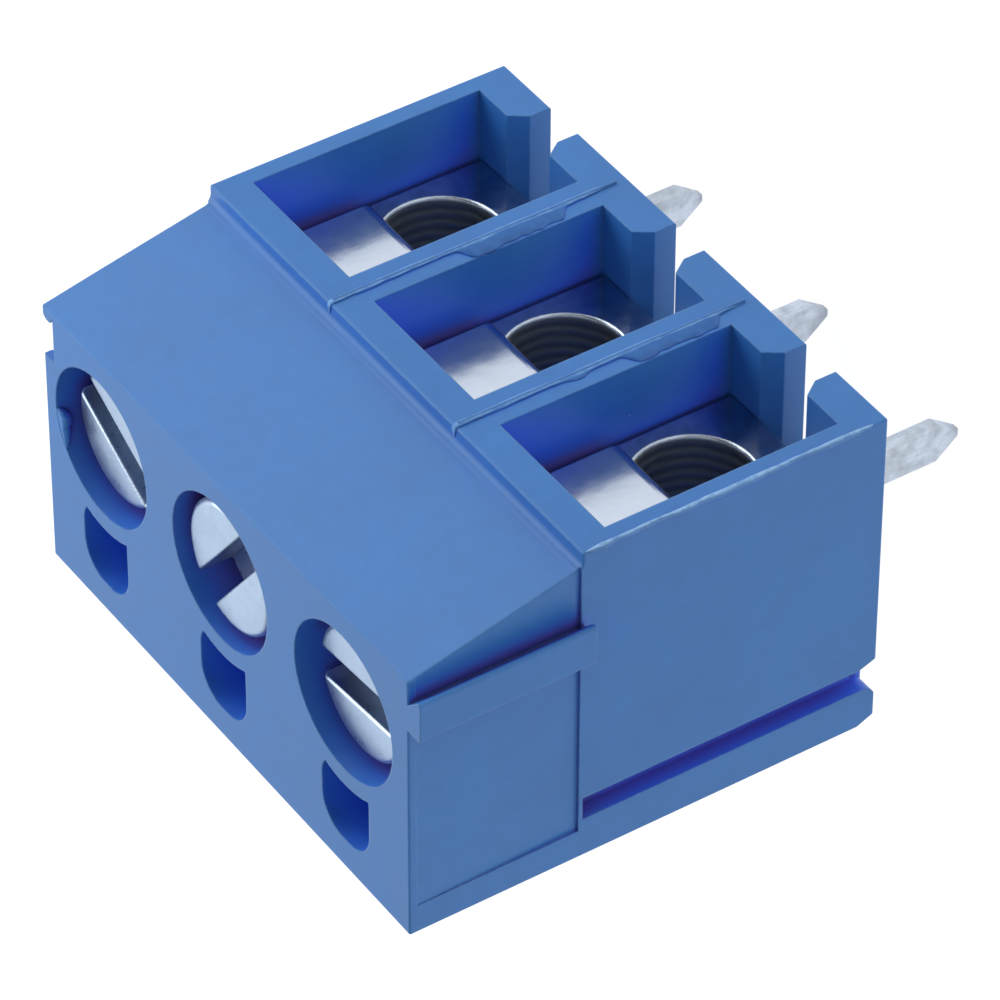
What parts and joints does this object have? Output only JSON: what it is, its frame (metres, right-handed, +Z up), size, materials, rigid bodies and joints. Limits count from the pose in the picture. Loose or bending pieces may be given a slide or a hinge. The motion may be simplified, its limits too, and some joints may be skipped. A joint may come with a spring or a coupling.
{
  "type": "screw terminal block",
  "caption": "Three-pole screw terminal block for circuit boards, with side wire entries, top screws, wire guards and flat solder pins.",
  "frame": {"origin": "middle of the face that sits on the circuit board, half way along the poles and half way between the wire entry face and the back", "axes": "+Z up from the board, towards the screw heads; -Y is the way the wire entries face; +X along the poles, from pole 1 to pole 3"},
  "size_m": [0.0159, 0.0089, 0.0162],
  "materials": {
    "housing_plastic": "satin",
    "clamp_plating": "bright plated",
    "screw_plating": "bright plated",
    "guard_tin": "bright plated",
    "pin_tin": "satin"
  },
  "bodies": {
    "base": {"housing": "housing_plastic", "clamp_body_1": "clamp_plating", "solder_pin_1": "pin_tin", "clamp_body_2": "clamp_plating", "solder_pin_2": "pin_tin", "clamp_body_3": "clamp_plating", "solder_pin_3": "pin_tin"},
    "guard_1": {"wire_guard_1": "guard_tin"},
    "screw_1": {"clamp_screw_1": "screw_plating"},
    "guard_2": {"wire_guard_2": "guard_tin"},
    "screw_2": {"clamp_screw_2": "screw_plating"},
    "guard_3": {"wire_guard_3": "guard_tin"},
    "screw_3": {"clamp_screw_3": "screw_plating"}
  },
  "joints": [
    {"name": "guard_slide_1", "type": "slide", "parent": "base", "child": "guard_1", "axis": [0, 0, 1], "range_m": [-0.0015, 0]},
    {"name": "screw_turn_1", "type": "hinge", "parent": "guard_1", "child": "screw_1", "pos_m": [-0.0049, -0.00045, 0.008], "axis": [0, 0, 1], "range_deg": [-1086, 0]},
    {"name": "guard_slide_2", "type": "slide", "parent": "base", "child": "guard_2", "axis": [0, 0, 1], "range_m": [-0.0015, 0]},
    {"name": "screw_turn_2", "type": "hinge", "parent": "guard_2", "child": "screw_2", "pos_m": [0.0001, -0.00045, 0.008], "axis": [0, 0, 1], "range_deg": [-1086, 0]},
    {"name": "guard_slide_3", "type": "slide", "parent": "base", "child": "guard_3", "axis": [0, 0, 1], "range_m": [-0.0015, 0]},
    {"name": "screw_turn_3", "type": "hinge", "parent": "guard_3", "child": "screw_3", "pos_m": [0.0051, -0.00045, 0.008], "axis": [0, 0, 1], "range_deg": [-1086, 0]}
  ],
  "couplings": [
    {"joint": "screw_turn_1", "follows": "guard_slide_1", "rad_per_m": 12566},
    {"joint": "screw_turn_2", "follows": "guard_slide_2", "rad_per_m": 12566},
    {"joint": "screw_turn_3", "follows": "guard_slide_3", "rad_per_m": 12566}
  ]
}
